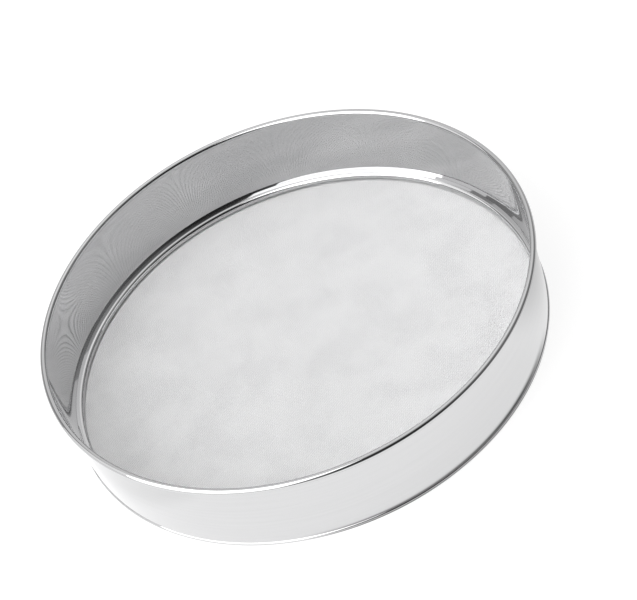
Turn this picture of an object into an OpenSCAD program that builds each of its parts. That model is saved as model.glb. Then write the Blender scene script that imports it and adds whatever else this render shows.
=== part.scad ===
// Tamis drum sieve: a sheet-metal drum with a wired rim bead, a wire cloth across its foot and the ring that
// clamps the cloth. The origin is on the table in the middle of the foot, +Z up, millimetres.

/* [Drum] */
// Diameter over the rim bead
rim_d = 300; // [200:1:400]
// Height from the table to the top of the rim bead
drum_h = 54; // [40:0.5:90]
// Thickness of the drum's sheet
sheet_t = 0.6; // [0.4:0.05:0.8]
// How much less the drum's inner radius is at the foot than at the rim
wall_taper = 2.9; // [0:0.1:5]
// Width of the seat that the foot turns in under the cloth, counted from the wall
seat_w = 3.4; // [3:0.1:8]
// Height of the seat's underside over the table
seat_lift = 0.9; // [0.7:0.05:1.1]

/* [Beads] */
// Diameter of the wire inside the rim bead
rim_wire_d = 2.6; // [2:0.1:4]
// Room between the rim wire and the sheet that is rolled around it
rim_wire_fit = 0.05; // [0.02:0.01:0.1]
// How far the rim bead stands in from the wall
rim_bead_in = 0.4; // [0.3:0.05:0.6]
// Angle at which the rolled rim ends, counted from the outside over the top
curl_end_deg = 255; // [250:1:275]
// Height of the small bead at the foot
foot_bead_d = 2.8; // [2:0.1:4]
// How far the foot bead stands out of the wall
foot_bead_out = 0.6; // [0.2:0.1:1.2]
// How deep the flat is that the foot bead stands on
foot_flat = 0.05; // [0.03:0.01:0.1]

/* [Wire cloth] */
// Width of a strand of the coarse net, which stands for the wires of the fine weave around it
strand_w = 1.5; // [0.8:0.1:3]
// Thickness of a strand
strand_t = 0.3; // [0.2:0.05:0.6]
// Distance between the middles of neighbouring strands
strand_pitch = 16; // [16:0.5:30]
// Room between the cloth's edge and the wall
cloth_edge_gap = 0.3; // [0.2:0.05:0.6]

/* [Retaining ring] */
// Height of the ring that clamps the cloth, a strip with a round nose and two flat lips that reach the wall
ring_h = 4.9; // [3.5:0.1:7]
// How far the middle of the ring's nose is from the wall
ring_mid_gap = 1.8; // [1.5:0.1:2.4]
// Thickness of the ring's strip
ring_t = 0.6; // [0.4:0.05:0.8]
// Room between the ring's two lips and the wall
ring_fit = 0.1; // [0.05:0.01:0.2]

/* [Quality] */
// Segments around the drum
round_fn = 180; // [96:12:360]
// Segments around a bead or the ring
bead_fn = 48; // [24:4:96]

/* [Hidden] */

// How far two stretches of one sheet's section run into each other
join = 0.1;

// Rim bead: its radius, and the radius and height of its centre line
rim_bead_r = rim_wire_d / 2 + rim_wire_fit + sheet_t;
rim_bead_in_r = rim_bead_r - sheet_t;
rim_centre_r = rim_d / 2 - rim_bead_r;
rim_centre_z = drum_h - rim_bead_r;

// Wall: inner radius at the table's height and at the rim bead's centre
wall_top_r = rim_centre_r - rim_bead_r + rim_bead_in;
wall_foot_r = wall_top_r - wall_taper;
function wall_inner_r(z) = wall_foot_r + wall_taper * z / rim_centre_z;

// Foot bead: its radii and centre line, and the seat's inner radius and upper face
foot_r = foot_bead_d / 2;
foot_in_r = foot_r - sheet_t;
foot_centre_z = foot_r - foot_flat;
foot_centre_r = wall_inner_r(foot_centre_z) + sheet_t + foot_bead_out - foot_r;
seat_in_r = wall_foot_r - seat_w;
seat_top_z = seat_lift + sheet_t;

// Cloth: the weft lies on the seat and the warp on the weft
cloth_r = wall_foot_r - cloth_edge_gap;
warp_low_z = seat_top_z + strand_t;
cloth_top_z = warp_low_z + strand_t;
strands_each_side = floor((seat_in_r - strand_w) / strand_pitch);

// Retaining ring: its lower lip lies on the warp, and both lips reach the tapered wall
ring_r = ring_h / 2;
ring_centre_z = cloth_top_z + ring_r;
ring_centre_r = wall_inner_r(ring_centre_z) - ring_mid_gap;

// A ring of sheet seen in section, centred on the origin
module rolled_section(outer_r, inner_r) {
    difference() {
        circle(r = outer_r, $fn = bead_fn);
        circle(r = inner_r, $fn = bead_fn);
    }
}

// The rim's curl in section: it starts on the wall, goes over the top and stops short of the wall again
module rim_curl_section() {
    reach = 2 * rim_bead_r;
    open_x = rim_bead_in + sheet_t - rim_bead_r - join;
    translate([rim_centre_r, rim_centre_z])
        difference() {
            rolled_section(rim_bead_r, rim_bead_in_r);
            polygon([
                [0, -join],
                [open_x, -join],
                [open_x, -reach],
                reach * [cos(curl_end_deg), sin(curl_end_deg)]
            ]);
        }
}

// The tapered wall in section, from inside the foot bead up into the rim's curl
module wall_section() {
    low_z = foot_centre_z + foot_in_r;
    top_z = rim_centre_z - sqrt(pow(rim_bead_in_r, 2) - pow(rim_bead_r - rim_bead_in - sheet_t, 2)) - join;
    polygon([
        [wall_inner_r(low_z), low_z],
        [wall_inner_r(low_z) + sheet_t, low_z],
        [wall_inner_r(top_z) + sheet_t, top_z],
        [wall_inner_r(top_z), top_z]
    ]);
}

// The foot bead in section, flat below and open towards the cloth's edge, with the seat turned in from it
module foot_section() {
    difference() {
        translate([foot_centre_r, foot_centre_z])
            rolled_section(foot_r, foot_in_r);
        translate([foot_centre_r - foot_r, -foot_r])
            square([2 * foot_r, foot_r]);
        translate([foot_centre_r - foot_bead_d, seat_top_z])
            square([foot_bead_d + wall_inner_r(foot_centre_z) - foot_centre_r, foot_bead_d]);
    }
    translate([seat_in_r, seat_lift])
        square([foot_centre_r - foot_r + sheet_t / 2 - seat_in_r, sheet_t]);
}

module drum_wall() {
    color("gainsboro")
        rotate_extrude($fn = round_fn)
            union() {
                wall_section();
                rim_curl_section();
                foot_section();
            }
}

module rim_wire() {
    color("darkgray")
        rotate_extrude($fn = round_fn)
            translate([rim_centre_r, rim_centre_z])
                circle(d = rim_wire_d, $fn = bead_fn);
}

// The strands of one direction, along X, cut round at the cloth's edge
module strand_set() {
    linear_extrude(strand_t)
        intersection() {
            circle(r = cloth_r, $fn = round_fn);
            for (i = [-strands_each_side : strands_each_side])
                translate([-cloth_r, i * strand_pitch - strand_w / 2])
                    square([2 * cloth_r, strand_w]);
        }
}

module weft_wires() {
    color("silver")
        translate([0, 0, seat_top_z])
            strand_set();
}

module warp_wires() {
    color("lightgray")
        translate([0, 0, warp_low_z])
            rotate([0, 0, 90])
                strand_set();
}

// A round nose with straight sides that run outwards from it past the wall
module nose_section(nose_r) {
    translate([ring_centre_r, ring_centre_z]) {
        circle(r = nose_r, $fn = bead_fn);
        translate([0, -nose_r])
            square([2 * ring_mid_gap, 2 * nose_r]);
    }
}

module retaining_ring() {
    low_z = cloth_top_z - join;
    high_z = ring_centre_z + ring_r + join;
    color("whitesmoke")
        rotate_extrude($fn = round_fn)
            difference() {
                nose_section(ring_r);
                nose_section(ring_r - ring_t);
                polygon([
                    [wall_inner_r(low_z) - ring_fit, low_z],
                    [wall_inner_r(low_z) + 2 * ring_mid_gap, low_z],
                    [wall_inner_r(high_z) + 2 * ring_mid_gap, high_z],
                    [wall_inner_r(high_z) - ring_fit, high_z]
                ]);
            }
}

drum_wall();
rim_wire();
weft_wires();
warp_wires();
retaining_ring();
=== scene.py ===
"""A tamis, the drum sieve of a pastry kitchen, dressed around its packed construction.

The drum, its rim bead and the clamping ring are bright steel sheet, turned from their profiles. The cloth is
woven wire by wire. Lengths are in metres, the origin is on the table in the middle of the foot and +Z is up.
"""

import math

import bpy
import numpy as np
from mathutils import Matrix, Vector


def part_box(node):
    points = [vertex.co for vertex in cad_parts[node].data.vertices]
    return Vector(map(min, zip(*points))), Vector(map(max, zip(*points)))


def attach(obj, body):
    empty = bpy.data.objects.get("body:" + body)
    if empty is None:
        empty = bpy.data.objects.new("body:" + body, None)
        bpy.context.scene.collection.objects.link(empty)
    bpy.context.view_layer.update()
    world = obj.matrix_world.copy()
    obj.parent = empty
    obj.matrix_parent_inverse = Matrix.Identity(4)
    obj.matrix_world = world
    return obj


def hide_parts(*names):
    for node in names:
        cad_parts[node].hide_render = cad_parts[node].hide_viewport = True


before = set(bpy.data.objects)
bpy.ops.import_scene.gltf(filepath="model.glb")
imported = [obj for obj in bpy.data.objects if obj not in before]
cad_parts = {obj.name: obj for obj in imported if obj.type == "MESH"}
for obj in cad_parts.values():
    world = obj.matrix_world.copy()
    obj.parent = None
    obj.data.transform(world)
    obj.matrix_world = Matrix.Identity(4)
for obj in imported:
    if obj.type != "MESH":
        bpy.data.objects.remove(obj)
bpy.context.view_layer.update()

bl_info = {
    "name": "Tamis drum sieve",
    "version": (1, 0, 0),
    "blender": (4, 5, 0),
    "location": "View3D > Sidebar > Tamis",
    "description": "Turns the drum and the ring of a tamis, weaves its wire cloth and sets its studio",
    "category": "Object",
}

FULL_TURN = 2 * math.pi

# Points that are closer than this are merged
MERGE = 1e-6

# Steps in which the drum and the ring are turned
ROUND_STEPS = 288

# Faces that meet at less than this are shaded as one smooth surface
SMOOTH_BELOW = math.radians(40)


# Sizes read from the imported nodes


def radii(node):
    """Least and greatest distance of a node's points from the drum's axis."""
    reach = [math.hypot(v.co.x, v.co.y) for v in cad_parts[node].data.vertices]
    return min(reach), max(reach)


RIM_WIRE_LOW, RIM_WIRE_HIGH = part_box("rim_wire")
RING_LOW, RING_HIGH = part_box("retaining_ring")

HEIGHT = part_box("drum_wall")[1].z
SEAT_INNER_R, RIM_R = radii("drum_wall")
RIM_BEAD_Z = (RIM_WIRE_LOW.z + RIM_WIRE_HIGH.z) / 2
RIM_BEAD_R = HEIGHT - RIM_BEAD_Z
RIM_CENTRE_R = RIM_R - RIM_BEAD_R

RING_SECTION_R = (RING_HIGH.z - RING_LOW.z) / 2
RING_CENTRE_Z = (RING_HIGH.z + RING_LOW.z) / 2
RING_CENTRE_R = radii("retaining_ring")[0] + RING_SECTION_R

CLOTH_R = radii("weft_wires")[1]
CLOTH_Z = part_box("weft_wires")[1].z
SEAT_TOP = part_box("weft_wires")[0].z


# Settings that a user would change


class TamisSheet(bpy.types.PropertyGroup):
    """The bent sheet of the drum and of the ring."""

    thickness: bpy.props.FloatProperty(
        name="Sheet thickness", description="Thickness of the steel sheet", default=0.0006, unit="LENGTH"
    )
    seat_width: bpy.props.FloatProperty(
        name="Seat width", description="From the wall to the seat's inner edge", default=0.0034, unit="LENGTH"
    )
    rim_bead_in: bpy.props.FloatProperty(
        name="Rim bead stand-in", description="How far the rim bead stands in from the wall",
        default=0.0004, unit="LENGTH",
    )
    foot_bead_height: bpy.props.FloatProperty(
        name="Foot bead height", description="Height of the bead at the foot", default=0.0028, unit="LENGTH"
    )
    foot_bead_out: bpy.props.FloatProperty(
        name="Foot bead stand-out", description="How far the foot bead stands out of the wall",
        default=0.0006, unit="LENGTH",
    )
    foot_flat: bpy.props.FloatProperty(
        name="Foot flat", description="Depth of the flat that the foot bead stands on",
        default=0.00005, unit="LENGTH",
    )
    fold_fillet: bpy.props.FloatProperty(
        name="Fold fillet", description="Size of the bends where the wall and the seat meet a bead",
        default=0.0003, unit="LENGTH",
    )
    curl_end: bpy.props.FloatProperty(
        name="Curl end", description="Where the rolled rim ends, counted from the outside over the top",
        default=math.radians(255), subtype="ANGLE",
    )
    ring_fit: bpy.props.FloatProperty(
        name="Ring fit", description="Room between the ring's lips and the wall",
        default=0.0001, unit="LENGTH",
    )


class TamisCloth(bpy.types.PropertyGroup):
    """The wire cloth."""

    pitch: bpy.props.FloatProperty(
        name="Pitch", description="Distance between neighbouring wires", default=0.0008, unit="LENGTH"
    )
    wire: bpy.props.FloatProperty(
        name="Wire", description="Diameter of a wire", default=0.0003, unit="LENGTH"
    )
    bands: bpy.props.IntProperty(
        name="Bands", description="Pieces that the wires of one direction are split into", default=4
    )


class TamisFinish(bpy.types.PropertyGroup):
    """Colour and polish of the steel."""

    drum_colour: bpy.props.FloatVectorProperty(
        name="Drum colour", description="Reflectance of the drum's steel", subtype="COLOR",
        default=(0.57, 0.57, 0.575),
    )
    ring_colour: bpy.props.FloatVectorProperty(
        name="Ring colour", description="Reflectance of the ring's steel", subtype="COLOR",
        default=(0.64, 0.64, 0.645),
    )
    cloth_colour: bpy.props.FloatVectorProperty(
        name="Cloth colour", description="Reflectance of the woven wires", subtype="COLOR",
        default=(0.82, 0.82, 0.825),
    )
    rim_wire_colour: bpy.props.FloatVectorProperty(
        name="Rim wire colour", description="Reflectance of the wire inside the rim", subtype="COLOR",
        default=(0.5, 0.5, 0.5),
    )
    # Lighter than the drum's sheet: painted light against the shade under the ring and the cloth
    seat_lightened_colour: bpy.props.FloatVectorProperty(
        name="Seat colour", description="Reflectance of the seat under the cloth", subtype="COLOR",
        default=(0.85, 0.85, 0.855),
    )
    polish: bpy.props.FloatProperty(
        name="Polish", description="Roughness of the polished sheet", default=0.04, min=0, max=1
    )
    satin: bpy.props.FloatProperty(
        name="Satin", description="Roughness of the seat under the cloth", default=0.5, min=0, max=1
    )
    woven: bpy.props.FloatProperty(
        name="Woven", description="Roughness of the woven wires", default=0.85, min=0, max=1
    )
    drawn: bpy.props.FloatProperty(
        name="Drawn", description="Roughness of the wire inside the rim", default=0.35, min=0, max=1
    )


class TamisStudio(bpy.types.PropertyGroup):
    """Where the camera stands, and the floor."""

    turn: bpy.props.FloatProperty(
        name="Turn", description="How far the studio is turned about the sieve and its wires",
        default=math.radians(-25), subtype="ANGLE",
    )
    camera_distance: bpy.props.FloatProperty(
        name="Camera distance", description="From the middle of the rim", default=2.0755, unit="LENGTH"
    )
    camera_elevation: bpy.props.FloatProperty(
        name="Camera elevation", description="Above the horizon", default=math.radians(42.87), subtype="ANGLE"
    )
    camera_roll: bpy.props.FloatProperty(
        name="Camera roll", description="How far the camera is turned about its view",
        default=math.radians(23.54), subtype="ANGLE",
    )
    camera_right: bpy.props.FloatProperty(
        name="Camera to the right", description="Shift to the right of the rim's middle",
        default=0.01647, unit="LENGTH",
    )
    camera_down: bpy.props.FloatProperty(
        name="Camera down", description="Shift below the rim's middle", default=0.01109, unit="LENGTH"
    )
    lens: bpy.props.FloatProperty(
        name="Lens", description="Focal length on a 36 mm wide sensor", default=203, unit="CAMERA"
    )
    floor_size: bpy.props.FloatProperty(
        name="Floor size", description="Length of the floor's side", default=12, unit="LENGTH"
    )


# Modelling helpers


def deselect_all():
    """Leaves edit mode and selects nothing."""
    if bpy.context.mode != "OBJECT":
        bpy.ops.object.mode_set(mode="OBJECT")
    bpy.ops.object.select_all(action="DESELECT")


def make_active(piece):
    """Selects the piece alone and makes it the active one."""
    deselect_all()
    piece.select_set(True)
    bpy.context.view_layer.objects.active = piece


def edit_points(piece, picked):
    """Enters edit mode with only the points selected for which picked, an array of truths, holds."""
    make_active(piece)
    bpy.ops.object.mode_set(mode="EDIT")
    bpy.ops.mesh.select_mode(type="VERT")
    bpy.ops.mesh.select_all(action="DESELECT")
    bpy.ops.object.mode_set(mode="OBJECT")
    piece.data.vertices.foreach_set("select", np.asarray(picked, dtype=bool))
    bpy.ops.object.mode_set(mode="EDIT")


def points_of(piece):
    """The piece's points as an array of rows x, y, z."""
    values = np.empty(len(piece.data.vertices) * 3, np.float32)
    piece.data.vertices.foreach_get("co", values)
    return values.reshape(-1, 3).astype(float)


def nearest_point(piece, x, z):
    """Truths that hold for the one point of a flat profile that lies nearest to (x, z)."""
    points = points_of(piece)
    away = np.hypot(points[:, 0] - x, points[:, 2] - z)
    return np.arange(len(points)) == away.argmin()


def section_circle(name, centre_r, centre_z, radius, points):
    """A circle in the X-Z plane, the start of a rolled profile."""
    deselect_all()
    bpy.ops.mesh.primitive_circle_add(
        vertices=points, radius=radius, location=(centre_r, 0, centre_z), rotation=(math.pi / 2, 0, 0)
    )
    piece = bpy.context.object
    piece.name = piece.data.name = name
    bpy.ops.object.transform_apply(location=True, rotation=True, scale=True)
    return piece


def angles_about(piece, x, z):
    """The angle of each point of a profile about (x, z), from 0 to a full turn."""
    points = points_of(piece)
    return np.arctan2(points[:, 2] - z, points[:, 0] - x) % FULL_TURN


def turn_to_shell(piece, thickness):
    """Spins the profile a full turn about the drum's axis and gives the surface its thickness."""
    edit_points(piece, np.ones(len(piece.data.vertices)))
    bpy.ops.mesh.spin(steps=ROUND_STEPS, angle=FULL_TURN, center=(0, 0, 0), axis=(0, 0, 1))
    bpy.ops.mesh.select_all(action="SELECT")
    bpy.ops.mesh.remove_doubles(threshold=MERGE)
    bpy.ops.mesh.normals_make_consistent(inside=False)
    bpy.ops.object.mode_set(mode="OBJECT")
    wall = piece.modifiers.new("Sheet", "SOLIDIFY")
    wall.thickness = thickness
    wall.offset = 0
    wall.use_even_offset = True
    bpy.ops.object.modifier_apply(modifier=wall.name)
    bpy.ops.object.shade_smooth_by_angle(angle=SMOOTH_BELOW)


def finish_piece(piece, material, slot, *nodes):
    """Gives a finished piece its material and its body, and hides the nodes that it stands for."""
    piece.data.materials.clear()
    piece.data.materials.append(material)
    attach(piece, "root")
    if nodes:
        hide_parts(*nodes)


# Materials


class NodeSheet:
    """A node tree with short ways to add and join its nodes."""

    def __init__(self, tree):
        self.tree = tree

    def add(self, kind, inputs=None, **settings):
        """A new node, with its settings and the values of its input sockets by name or number."""
        node = self.tree.nodes.new(kind)
        for name, value in settings.items():
            setattr(node, name, value)
        for socket, value in (inputs or {}).items():
            node.inputs[socket].default_value = value
        return node

    def join(self, output, target):
        """A link from one node's output to another's input."""
        self.tree.links.new(output, target)

    def product(self, factors):
        """The output of a chain of Math nodes that multiplies all the factors."""
        total = factors[0]
        for factor in factors[1:]:
            both = self.add("ShaderNodeMath", operation="MULTIPLY")
            self.join(total, both.inputs[0])
            self.join(factor, both.inputs[1])
            total = both.outputs["Value"]
        return total


# The grain's lines run level round the drum, because the noise that makes them is drawn out along X and Y
LINE_STRETCH = (0.02, 0.02, 1)
LINE_DEPTH = 0.00005
LINE_DETAIL = 3
CLOUD_DETAIL = 3

# The slow waves of the sheet
WAVE_SCALE = 9
WAVE_DETAIL = 1
WAVE_DEPTH = 0.002

# The span that most of a noise's values lie in, and how far the grain's shade departs from one
NOISE_LOW = 0.3
NOISE_HIGH = 0.7
SHADE_SPREAD = 0.03

# The share by which a steel's roughness goes up and down with the clouds
ROUGHNESS_SPREAD = 0.35


def rolled_grain_group():
    """Fine lines along the sheet, slow waves across it, and a faint cloudiness of the polish."""
    found = bpy.data.node_groups.get("Rolled grain")
    if found:
        return found
    group = bpy.data.node_groups.new("Rolled grain", "ShaderNodeTree")
    face = group.interface
    for label, value in (
        ("Line Scale", 700.0), ("Cloud Scale", 30.0), ("Roughness Low", 0.08), ("Roughness High", 0.14),
        ("Line Strength", 0.05), ("Wave Strength", 0.02),
    ):
        socket = face.new_socket(label, in_out="INPUT", socket_type="NodeSocketFloat")
        socket.default_value = value
    face.new_socket("Roughness", in_out="OUTPUT", socket_type="NodeSocketFloat")
    face.new_socket("Shade", in_out="OUTPUT", socket_type="NodeSocketFloat")
    face.new_socket("Normal", in_out="OUTPUT", socket_type="NodeSocketVector")
    sheet = NodeSheet(group)
    inlet = sheet.add("NodeGroupInput")
    outlet = sheet.add("NodeGroupOutput")
    place = sheet.add("ShaderNodeTexCoord")
    stretch = sheet.add("ShaderNodeMapping", {"Scale": LINE_STRETCH})
    lines = sheet.add("ShaderNodeTexNoise", {"Detail": LINE_DETAIL})
    clouds = sheet.add("ShaderNodeTexNoise", {"Detail": CLOUD_DETAIL})
    waves = sheet.add("ShaderNodeTexNoise", {"Scale": WAVE_SCALE, "Detail": WAVE_DETAIL})
    rough = sheet.add("ShaderNodeMapRange", {"From Min": NOISE_LOW, "From Max": NOISE_HIGH})
    shade = sheet.add("ShaderNodeMapRange", {"To Min": 1 - SHADE_SPREAD, "To Max": 1 + SHADE_SPREAD})
    slow = sheet.add("ShaderNodeBump", {"Distance": WAVE_DEPTH})
    fine = sheet.add("ShaderNodeBump", {"Distance": LINE_DEPTH})
    sheet.join(place.outputs["Object"], stretch.inputs["Vector"])
    sheet.join(stretch.outputs["Vector"], lines.inputs["Vector"])
    sheet.join(inlet.outputs["Line Scale"], lines.inputs["Scale"])
    sheet.join(place.outputs["Object"], clouds.inputs["Vector"])
    sheet.join(inlet.outputs["Cloud Scale"], clouds.inputs["Scale"])
    sheet.join(place.outputs["Object"], waves.inputs["Vector"])
    sheet.join(clouds.outputs["Fac"], rough.inputs["Value"])
    sheet.join(inlet.outputs["Roughness Low"], rough.inputs["To Min"])
    sheet.join(inlet.outputs["Roughness High"], rough.inputs["To Max"])
    sheet.join(lines.outputs["Fac"], shade.inputs["Value"])
    sheet.join(waves.outputs["Fac"], slow.inputs["Height"])
    sheet.join(inlet.outputs["Wave Strength"], slow.inputs["Strength"])
    sheet.join(lines.outputs["Fac"], fine.inputs["Height"])
    sheet.join(inlet.outputs["Line Strength"], fine.inputs["Strength"])
    sheet.join(slow.outputs["Normal"], fine.inputs["Normal"])
    sheet.join(rough.outputs["Result"], outlet.inputs["Roughness"])
    sheet.join(shade.outputs["Result"], outlet.inputs["Shade"])
    sheet.join(fine.outputs["Normal"], outlet.inputs["Normal"])
    return group


def steel(name, colour, polish, lines=0.05, waves=0.02):
    """Steel with the rolled grain in its colour, roughness and normal. Polish is its mean roughness."""
    material = bpy.data.materials.new(name)
    material.use_nodes = True
    sheet = NodeSheet(material.node_tree)
    shader = material.node_tree.nodes["Principled BSDF"]
    shader.inputs["Metallic"].default_value = 1
    grain = sheet.add("ShaderNodeGroup")
    grain.node_tree = rolled_grain_group()
    grain.inputs["Roughness Low"].default_value = polish * (1 - ROUGHNESS_SPREAD)
    grain.inputs["Roughness High"].default_value = polish * (1 + ROUGHNESS_SPREAD)
    grain.inputs["Line Strength"].default_value = lines
    grain.inputs["Wave Strength"].default_value = waves
    tint = sheet.add("ShaderNodeVectorMath", {0: tuple(colour)}, operation="SCALE")
    sheet.join(grain.outputs["Shade"], tint.inputs["Scale"])
    sheet.join(tint.outputs["Vector"], shader.inputs["Base Color"])
    sheet.join(grain.outputs["Roughness"], shader.inputs["Roughness"])
    sheet.join(grain.outputs["Normal"], shader.inputs["Normal"])
    return material


# The drum


class TAMIS_OT_drum(bpy.types.Operator):
    """Turns the drum: rim bead, tapered wall, foot bead and the seat of the cloth, in one sheet"""

    bl_idname = "tamis.drum"
    bl_label = "Make the drum"
    section_points = 54
    fillet_steps = 3

    def execute(self, context):
        sheet = context.scene.tamis_sheet
        half = sheet.thickness / 2
        piece, wall_top = self.rim(sheet, half)

        # Where the wall meets the foot bead, and where the seat leaves it
        foot_r = SEAT_INNER_R + sheet.seat_width + half
        slope = (wall_top[0] - foot_r) / wall_top[1]
        bead_r = sheet.foot_bead_height / 2 - half
        bead_z = bead_r + half - sheet.foot_flat
        bead_x = foot_r + slope * bead_z + sheet.foot_bead_out - bead_r
        fold_x = foot_r + slope * 2 * bead_z
        fold = (fold_x, bead_z + math.sqrt(bead_r**2 - (fold_x - bead_x) ** 2))
        seat_z = SEAT_TOP - half
        seat_start = (bead_x - math.sqrt(bead_r**2 - (seat_z - bead_z) ** 2), seat_z)

        # The wall, with a short stretch at either end that keeps its shading straight
        edit_points(piece, nearest_point(piece, *wall_top))
        below_rim = wall_top[1] - sheet.thickness
        above_fold = fold[1] + 2 * sheet.thickness
        heights = [wall_top[1], below_rim, RIM_BEAD_Z / 2, above_fold, fold[1]]
        for upper, lower in zip(heights[:-1], heights[1:]):
            bpy.ops.mesh.extrude_region_move(
                TRANSFORM_OT_translate={"value": (-slope * (upper - lower), 0, lower - upper)}
            )

        # The foot bead, and the seat with a short stretch at its edge
        bpy.ops.mesh.spin(
            steps=self.section_points // 2,
            angle=math.asin((fold[1] - bead_z) / bead_r) + math.pi + math.asin((bead_z - seat_z) / bead_r),
            center=(bead_x, 0, bead_z),
            axis=(0, -1, 0),
        )
        bpy.ops.object.mode_set(mode="OBJECT")
        edit_points(piece, nearest_point(piece, *seat_start))
        for reach in (seat_start[0] - SEAT_INNER_R - sheet.thickness, sheet.thickness):
            bpy.ops.mesh.extrude_region_move(TRANSFORM_OT_translate={"value": (-reach, 0, 0)})
        bpy.ops.object.mode_set(mode="OBJECT")

        # Bends at the corners, and the flat that the foot bead stands on
        for corner in (wall_top, fold, seat_start):
            edit_points(piece, nearest_point(piece, *corner))
            bpy.ops.mesh.bevel(offset=sheet.fold_fillet, segments=self.fillet_steps, affect="VERTICES")
            bpy.ops.object.mode_set(mode="OBJECT")
        edit_points(piece, points_of(piece)[:, 2] < half)
        bpy.ops.transform.resize(value=(1, 1, 0), center_override=(0, 0, half))
        bpy.ops.object.mode_set(mode="OBJECT")
        turn_to_shell(piece, sheet.thickness)

        # Polished all over but for the seat, which is satin and lighter; its lighter colour is painted light
        # against the shade under the ring and the cloth
        finish = context.scene.tamis_finish
        finish_piece(
            piece, steel("bright_drum_steel", finish.drum_colour, finish.polish), "drum_steel", "drum_wall"
        )
        piece.data.materials.append(
            steel("satin_lightened_seat_steel", finish.seat_lightened_colour, finish.satin, lines=0.2, waves=0.0)
        )
        middles = np.empty(len(piece.data.polygons) * 3, np.float32)
        piece.data.polygons.foreach_get("center", middles)
        middles = middles.reshape(-1, 3)
        on_seat = np.hypot(middles[:, 0], middles[:, 1]) < seat_start[0]
        piece.data.polygons.foreach_set("material_index", on_seat.astype(np.int32))
        return {"FINISHED"}

    def rim(self, sheet, half):
        """The rim's curl in section, and the place on it where the wall starts."""
        curl_r = RIM_BEAD_R - half
        piece = section_circle("drum_shell", RIM_CENTRE_R, RIM_BEAD_Z, curl_r, self.section_points)
        step = FULL_TURN / self.section_points
        start = math.pi + math.acos((RIM_BEAD_R - sheet.rim_bead_in - half) / curl_r)
        start = round(start / step) * step
        around = angles_about(piece, RIM_CENTRE_R, RIM_BEAD_Z)
        slack = step / 4
        edit_points(piece, (around > start + slack) & (around < sheet.curl_end - slack))
        bpy.ops.mesh.delete(type="VERT")
        bpy.ops.object.mode_set(mode="OBJECT")
        wall_top = (RIM_CENTRE_R + curl_r * math.cos(start), RIM_BEAD_Z + curl_r * math.sin(start))
        return piece, wall_top


class TAMIS_OT_ring(bpy.types.Operator):
    """Bends the clamping ring, a strip with a round nose and two flat lips that reach the wall"""

    bl_idname = "tamis.ring"
    bl_label = "Make the clamping ring"
    section_points = 44

    def execute(self, context):
        sheet = context.scene.tamis_sheet
        half = sheet.thickness / 2
        middle_r = RING_SECTION_R - half
        piece = section_circle("clamping_ring", RING_CENTRE_R, RING_CENTRE_Z, middle_r, self.section_points)
        edit_points(piece, points_of(piece)[:, 0] > RING_CENTRE_R + half / 2)
        bpy.ops.mesh.delete(type="VERT")
        bpy.ops.object.mode_set(mode="OBJECT")
        wall_foot_r = SEAT_INNER_R + sheet.seat_width
        slope = (RIM_CENTRE_R - RIM_BEAD_R + sheet.rim_bead_in - wall_foot_r) / RIM_BEAD_Z
        for z in (RING_CENTRE_Z + middle_r, RING_CENTRE_Z - middle_r):
            edit_points(piece, nearest_point(piece, RING_CENTRE_R, z))
            reach = wall_foot_r + slope * z - sheet.ring_fit - RING_CENTRE_R
            bpy.ops.mesh.extrude_region_move(TRANSFORM_OT_translate={"value": (reach, 0, 0)})
            bpy.ops.object.mode_set(mode="OBJECT")
        turn_to_shell(piece, sheet.thickness)
        finish = context.scene.tamis_finish
        bright = steel("bright_ring_steel", finish.ring_colour, finish.polish)
        finish_piece(piece, bright, "ring_steel", "retaining_ring")
        return {"FINISHED"}


class TAMIS_OT_rim_wire(bpy.types.Operator):
    """Gives the wire inside the rim bead its drawn steel"""

    bl_idname = "tamis.rim_wire"
    bl_label = "Finish the rim wire"

    def execute(self, context):
        finish = context.scene.tamis_finish
        dull = steel("drawn_wire_steel", finish.rim_wire_colour, finish.drawn, lines=0.2)
        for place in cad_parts["rim_wire"].material_slots:
            place.material = dull
        return {"FINISHED"}


# The cloth


# Sides of a wire in section, few because the cloth has some 700 wires
WIRE_SIDES = 3


def wave_pair(pitch, wire):
    """One wave of two neighbouring wires along X: the second is a pitch further on and a pitch aside."""
    rise = wire / 2
    deselect_all()
    bpy.ops.mesh.primitive_cylinder_add(
        vertices=WIRE_SIDES, radius=wire / 2, depth=pitch, end_fill_type="NOTHING",
        location=(pitch / 2, 0, 0), rotation=(0, math.pi / 2, 0),
    )
    piece = bpy.context.object
    bpy.ops.object.transform_apply(location=True, rotation=True, scale=True)
    points = points_of(piece)
    edit_points(piece, points[:, 0] < pitch / 2)
    bpy.ops.transform.translate(value=(0, 0, rise))
    bpy.ops.object.mode_set(mode="OBJECT")
    edit_points(piece, points[:, 0] > pitch / 2)
    bpy.ops.transform.translate(value=(0, 0, -rise))
    bpy.ops.mesh.extrude_region_move(TRANSFORM_OT_translate={"value": (pitch, 0, 2 * rise)})
    bpy.ops.mesh.select_all(action="SELECT")
    bpy.ops.mesh.duplicate_move(TRANSFORM_OT_translate={"value": (pitch, pitch, 0)})
    bpy.ops.object.mode_set(mode="OBJECT")
    return piece


def repeat(piece, offset, count, merge):
    """Repeats a piece along an offset with an array that is applied at once."""
    make_active(piece)
    row = piece.modifiers.new("Row", "ARRAY")
    row.use_relative_offset = False
    row.use_constant_offset = True
    row.constant_offset_displace = offset
    row.count = count
    row.use_merge_vertices = merge
    row.merge_threshold = MERGE
    bpy.ops.object.modifier_apply(modifier=row.name)


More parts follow.
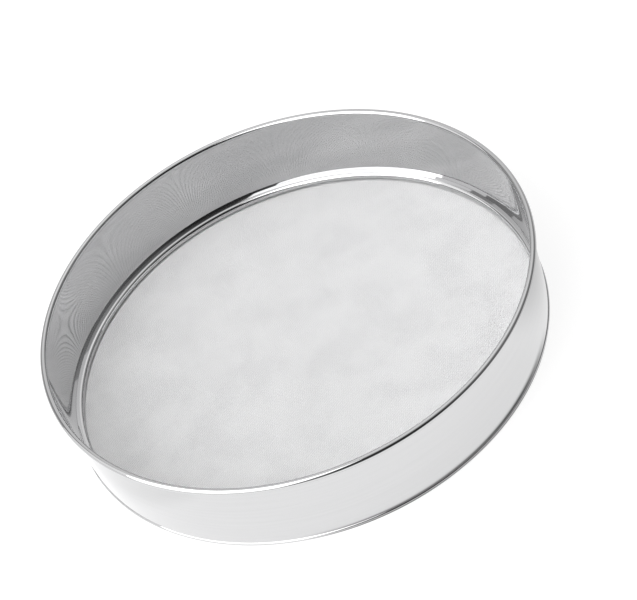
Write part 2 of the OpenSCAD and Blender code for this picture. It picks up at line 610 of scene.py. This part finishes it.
def weave(name, cloth, first, last, crosswise):
    """The wires from number first to number last of one direction, cut round at the cloth's edge."""
    pitch = cloth.pitch
    waves = int(CLOTH_R / pitch) // 2 + 2
    piece = wave_pair(pitch, cloth.wire)
    piece.name = piece.data.name = name
    repeat(piece, (2 * pitch, 0, 0), 2 * waves, True)
    repeat(piece, (0, 2 * pitch, 0), (last - first + 1) // 2, False)
    make_active(piece)
    bpy.ops.object.mode_set(mode="EDIT")
    bpy.ops.mesh.select_all(action="SELECT")
    bpy.ops.transform.translate(value=(-2 * waves * pitch, first * pitch, 0))
    bpy.ops.object.mode_set(mode="OBJECT")
    rings = np.round(points_of(piece)[:, :2] / pitch) * pitch
    edit_points(piece, np.hypot(rings[:, 0], rings[:, 1]) > CLOTH_R - pitch / 4)
    bpy.ops.mesh.delete(type="VERT")
    bpy.ops.mesh.select_all(action="SELECT")
    bpy.ops.mesh.fill_holes(sides=WIRE_SIDES)
    if crosswise:
        bpy.ops.mesh.select_all(action="SELECT")
        bpy.ops.transform.rotate(value=math.pi / 2, orient_axis="Z", center_override=(0, 0, 0))
        bpy.ops.transform.mirror(constraint_axis=(False, False, True), center_override=(0, 0, 0))
    bpy.ops.mesh.select_all(action="SELECT")
    bpy.ops.mesh.normals_make_consistent(inside=False)
    bpy.ops.transform.translate(value=(0, 0, CLOTH_Z))
    bpy.ops.object.mode_set(mode="OBJECT")
    bpy.ops.object.shade_smooth()
    return piece


class TAMIS_OT_cloth(bpy.types.Operator):
    """Weaves the wire cloth, the wires of each direction in bands"""

    bl_idname = "tamis.cloth"
    bl_label = "Weave the wire cloth"

    def execute(self, context):
        cloth = context.scene.tamis_cloth
        finish = context.scene.tamis_finish
        wires = steel("bright_cloth_wire", finish.cloth_colour, finish.woven, lines=0.0, waves=0.0)

        # Wires are numbered from the middle. Both numbers are even, because a wave pair holds two wires.
        reach = int(CLOTH_R / cloth.pitch) // 2 * 2
        per_band = math.ceil((2 * reach + 2) / cloth.bands / 2) * 2
        for node, crosswise in (("weft_wires", False), ("warp_wires", True)):
            for band in range(cloth.bands):
                first = -reach + band * per_band
                last = min(first + per_band - 1, reach + 1)
                piece = weave(f"{node.split('_')[0]}_band_{band + 1}", cloth, first, last, crosswise)
                finish_piece(piece, wires, "cloth_steel", node)
        return {"FINISHED"}


# The studio


# Azimuths and elevations are in degrees. The studio's right has azimuth 0 and the camera stands at 270.
# The middle of the dark side of the walls and the floor, near the camera:
DARK_SIDE = 284

# Soft panels: name, azimuth, elevation, distance, width, height and radiance
PANELS = (
    ("left_panel", 212, 38, 1.6, 2.05, 2.3, 2.45),
    ("left_fill", 164, 36, 1.7, 1.1, 1.8, 0.8),
    ("back_panel", 80, 38, 1.8, 2.0, 1.9, 0.4),
)

# Floor paints, each a matt grey and a glow: under the cloth, where the lower glow is painted shade of the
# cloth and the drum, and around it as the lamps light it, as steel mirrors it and as the camera sees it
SHADED_UNDER_CLOTH = (0.5, 0.56)
PLAIN = (0.8, 0)
MIRRORED = (0.22, 1.04)
SEEN = (0.25, 0.85)

# Half the width of the step between the paints at the cloth's edge, where the painted shade under the cloth
# ends
PAINT_STEP = 0.0005

# Painted shade on the floor as steel mirrors it, where it grows dim: towards the dark side near the camera,
# in the drum's shadow to the right, and a little to the left. Each is an azimuth, the distances where that
# starts and ends, and what is left
FLOOR_PAINTED_SHADES = ((DARK_SIDE, 0.22, 0.34, 0.12), (20, 0.1, 0.15, 0.65), (190, 0.142, 0.156, 0.91))

# The painted contact shadow on the floor at the foot's front, which the foot bead mirrors as a dark line: how
# far outside the cloth it starts and stops to fade, and how it sets in, as the fades above
FOOT_SHADOW_START = 0.0026
FOOT_SHADOW_END = 0.005
FOOT_SHADOW_FADE = (293, 0.105, 0.14, 0.02)

# The walls overhead: angles from straight up where they grow dim and are at their dimmest, and how dim
OVERHEAD = (13, 55)
AWAY_FROM_OVERHEAD = 0.45

# The dark side of the walls: the angles where it ends, its brightness, and how far heights count less there
DARK_LOBE = (14, 42, 0.17)
DARK_SQUEEZE = (1, 1, 0.35)

# Other dim patches of the walls: azimuth, elevation, the angles where each ends, and its brightness
DIM_PATCHES = ((300, 42, 12, 45, 0.4), (350, 5, 20, 60, 0.5), (125, 45, 8, 28, 0.7))

# Width of the camera's sensor in millimetres
SENSOR_WIDTH = 36


def direction(azimuth, elevation):
    """A unit vector. Azimuth is counted from the studio's right, which the turn sets, towards its back."""
    a = math.radians(azimuth) + bpy.context.scene.tamis_studio.turn
    e = math.radians(elevation)
    return Vector((math.cos(a) * math.cos(e), math.sin(a) * math.cos(e), math.sin(e)))


def look_along(location, right, up, towards_viewer):
    """A world matrix from a place and three axes."""
    turn = Matrix((right, up, towards_viewer)).transposed()
    return Matrix.Translation(location) @ turn.to_4x4()


def add_camera(studio):
    """The camera, which looks down at the middle of the rim and is rolled about its view."""
    deselect_all()
    roll = studio.camera_roll
    right = direction(0, 0)
    back = direction(270, math.degrees(studio.camera_elevation))
    up = back.cross(right)
    place = Vector((0, 0, RIM_BEAD_Z)) + back * studio.camera_distance
    place += right * studio.camera_right - up * studio.camera_down
    bpy.ops.object.camera_add()
    camera = bpy.context.object
    camera.name = "camera"
    camera.data.sensor_fit = "HORIZONTAL"
    camera.data.sensor_width = SENSOR_WIDTH
    camera.data.lens = studio.lens
    turned_right = right * math.cos(roll) - up * math.sin(roll)
    turned_up = right * math.sin(roll) + up * math.cos(roll)
    camera.matrix_world = look_along(place, turned_right, turned_up, back)
    bpy.context.scene.camera = camera


def add_panel(name, azimuth, elevation, distance, width, height, radiance):
    """A soft panel of light that faces the sieve."""
    deselect_all()
    away = direction(azimuth, elevation)
    bpy.ops.object.light_add(type="AREA", location=away * distance)
    panel = bpy.context.object
    panel.name = name
    panel.rotation_euler = away.to_track_quat("Z", "Y").to_euler()
    panel.data.shape = "RECTANGLE"
    panel.data.size = width
    panel.data.size_y = height
    panel.data.energy = radiance * math.pi * width * height
    panel.visible_camera = False


def floor_material():
    """Pale floor: white around the sieve with its shadow, with painted shade under the cloth and on the floor
    as steel mirrors it, and clear from below.
    """
    material = bpy.data.materials.new("pale_floor")
    material.use_nodes = True
    tree = material.node_tree
    tree.nodes.clear()
    sheet = NodeSheet(tree)
    out = sheet.add("ShaderNodeOutputMaterial")
    path = sheet.add("ShaderNodeLightPath")
    place = sheet.add("ShaderNodeTexCoord")

    def mapped(value, start, end, low, high):
        """From low at the start to high at the end of a span of the value, with soft ends."""
        span = {"From Min": start, "From Max": end, "To Min": low, "To Max": high}
        node = sheet.add("ShaderNodeMapRange", span, interpolation_type="SMOOTHSTEP")
        sheet.join(value, node.inputs["Value"])
        return node.outputs["Result"]

    def painted(paint, factor=None):
        """A paint's matt grey and its glow, both times a factor."""
        both = sheet.add("ShaderNodeAddShader")
        for index, (kind, value) in enumerate(zip(("ShaderNodeBsdfDiffuse", "ShaderNodeEmission"), paint)):
            shader = sheet.add(kind, {"Color": (value, value, value, 1)})
            if factor:
                tone = sheet.add("ShaderNodeVectorMath", {0: (value, value, value)}, operation="SCALE")
                sheet.join(factor, tone.inputs["Scale"])
                sheet.join(tone.outputs["Vector"], shader.inputs["Color"])
            sheet.join(shader.outputs[0], both.inputs[index])
        return both.outputs[0]

    def mixed(factor, first, second):
        """The first shader where the factor is 0 and the second where it is 1."""
        node = sheet.add("ShaderNodeMixShader")
        for socket, output in zip(node.inputs, (factor, first, second)):
            sheet.join(output, socket)
        return node.outputs[0]

    def painted_shade_towards(azimuth, start, end, low):
        """Painted shade: one near the sieve, and low further out towards an azimuth."""
        along = sheet.add("ShaderNodeVectorMath", {1: direction(azimuth, 0)}, operation="DOT_PRODUCT")
        sheet.join(place.outputs["Object"], along.inputs[0])
        return mapped(along.outputs["Value"], start, end, 1, low)

    away = sheet.add("ShaderNodeVectorMath", operation="LENGTH")
    sheet.join(place.outputs["Object"], away.inputs[0])
    around = mapped(away.outputs["Value"], CLOTH_R - PAINT_STEP, CLOTH_R + PAINT_STEP, 0, 1)
    # Painted contact shadow next to the foot, deepest at its front, seen only where steel mirrors the floor
    painted_foot_shadow = mapped(away.outputs["Value"], CLOTH_R + FOOT_SHADOW_START, CLOTH_R + FOOT_SHADOW_END, 0, 1)
    sheet.join(painted_shade_towards(*FOOT_SHADOW_FADE), painted_foot_shadow.node.inputs["To Min"])
    # The mirrored floor's painted shade: the fades above and the painted contact shadow at the foot
    tone = sheet.product([*(painted_shade_towards(*fade) for fade in FLOOR_PAINTED_SHADES), painted_foot_shadow])

    # Under the cloth the floor's glow is lower, painted shade of the cloth and the drum; its matt grey also
    # takes the real shade
    under = painted(SHADED_UNDER_CLOTH)
    plain = painted(PLAIN)
    # The floor as steel mirrors it carries the painted shade
    mirrored = mixed(around, under, painted(MIRRORED, tone))
    seen = mixed(around, under, painted(SEEN))
    indirect = mixed(path.outputs["Is Glossy Ray"], plain, mirrored)
    above = mixed(path.outputs["Is Camera Ray"], indirect, seen)
    below = sheet.add("ShaderNodeBsdfTransparent").outputs[0]
    side = sheet.add("ShaderNodeNewGeometry").outputs["Backfacing"]
    sheet.join(mixed(side, above, below), out.inputs["Surface"])
    return material


def studio_world():
    """Pale walls, dark where the camera stands and dim above it; the camera itself sees white."""
    world = bpy.data.worlds.new("studio")
    bpy.context.scene.world = world
    world.use_nodes = True
    tree = world.node_tree
    tree.nodes.clear()
    sheet = NodeSheet(tree)
    out = sheet.add("ShaderNodeOutputWorld")
    path = sheet.add("ShaderNodeLightPath")
    walls = sheet.add("ShaderNodeBackground")
    white = sheet.add("ShaderNodeBackground", {"Color": (1, 1, 1, 1)})
    mix = sheet.add("ShaderNodeMixShader")
    sight = sheet.add("ShaderNodeTexCoord").outputs["Generated"]

    def lobe(vector, towards, inner, outer, middle, around=1):
        """A soft round patch with one value in its middle and another around it."""
        along = sheet.add("ShaderNodeVectorMath", {1: towards}, operation="DOT_PRODUCT")
        span = {"From Min": math.cos(math.radians(outer)), "From Max": math.cos(math.radians(inner))}
        values = {"To Min": around, "To Max": middle}
        fade = sheet.add("ShaderNodeMapRange", {**span, **values}, interpolation_type="SMOOTHSTEP")
        sheet.join(vector, along.inputs[0])
        sheet.join(along.outputs["Value"], fade.inputs["Value"])
        return fade.outputs["Result"]

    upright = sheet.add("ShaderNodeVectorMath", {1: DARK_SQUEEZE}, operation="MULTIPLY")
    unit = sheet.add("ShaderNodeVectorMath", operation="NORMALIZE")
    sheet.join(sight, upright.inputs[0])
    sheet.join(upright.outputs["Vector"], unit.inputs[0])
    overhead = lobe(sight, (0, 0, 1), *OVERHEAD, 1, AWAY_FROM_OVERHEAD)
    dark = lobe(unit.outputs["Vector"], direction(DARK_SIDE, 0), *DARK_LOBE)
    dim = [lobe(sight, direction(azimuth, height), *patch) for azimuth, height, *patch in DIM_PATCHES]
    tone = sheet.product([overhead, dark, *dim])
    sheet.join(tone, walls.inputs["Color"])
    sheet.join(path.outputs["Is Camera Ray"], mix.inputs["Fac"])
    sheet.join(walls.outputs[0], mix.inputs[1])
    sheet.join(white.outputs[0], mix.inputs[2])
    sheet.join(mix.outputs[0], out.inputs["Surface"])


class TAMIS_OT_stage(bpy.types.Operator):
    """Sets the pale floor, the soft panels, the studio walls and the camera"""

    bl_idname = "tamis.stage"
    bl_label = "Set the studio"

    def execute(self, context):
        studio = context.scene.tamis_studio
        context.scene.view_settings.view_transform = "Standard"
        deselect_all()
        bpy.ops.mesh.primitive_plane_add(size=studio.floor_size)
        floor = context.object
        floor.name = "floor"
        floor.data.materials.append(floor_material())
        for panel in PANELS:
            add_panel(*panel)
        studio_world()
        add_camera(studio)
        return {"FINISHED"}


# The add-on


class TAMIS_PT_sidebar(bpy.types.Panel):
    """Lists the settings and the steps in the order of making."""

    bl_label = "Tamis"
    bl_idname = "TAMIS_PT_sidebar"
    bl_space_type = "VIEW_3D"
    bl_region_type = "UI"
    bl_category = "Tamis"

    def draw(self, context):
        for settings in SETTINGS:
            group = getattr(context.scene, settings)
            box = self.layout.box()
            for name in group.__annotations__:
                box.prop(group, name)
        for step in STEPS:
            self.layout.operator(step.bl_idname)


STEPS = (TAMIS_OT_drum, TAMIS_OT_ring, TAMIS_OT_rim_wire, TAMIS_OT_cloth, TAMIS_OT_stage)
SETTINGS = {
    "tamis_sheet": TamisSheet,
    "tamis_cloth": TamisCloth,
    "tamis_finish": TamisFinish,
    "tamis_studio": TamisStudio,
}
CLASSES = (*SETTINGS.values(), *STEPS, TAMIS_PT_sidebar)


def register():
    for item in CLASSES:
        bpy.utils.register_class(item)
    for name, group in SETTINGS.items():
        setattr(bpy.types.Scene, name, bpy.props.PointerProperty(type=group))


def unregister():
    for name in SETTINGS:
        delattr(bpy.types.Scene, name)
    for item in reversed(CLASSES):
        bpy.utils.unregister_class(item)


def main():
    register()
    bpy.ops.tamis.drum()
    bpy.ops.tamis.ring()
    bpy.ops.tamis.rim_wire()
    bpy.ops.tamis.cloth()
    bpy.ops.tamis.stage()


if __name__ == "__main__":
    main()
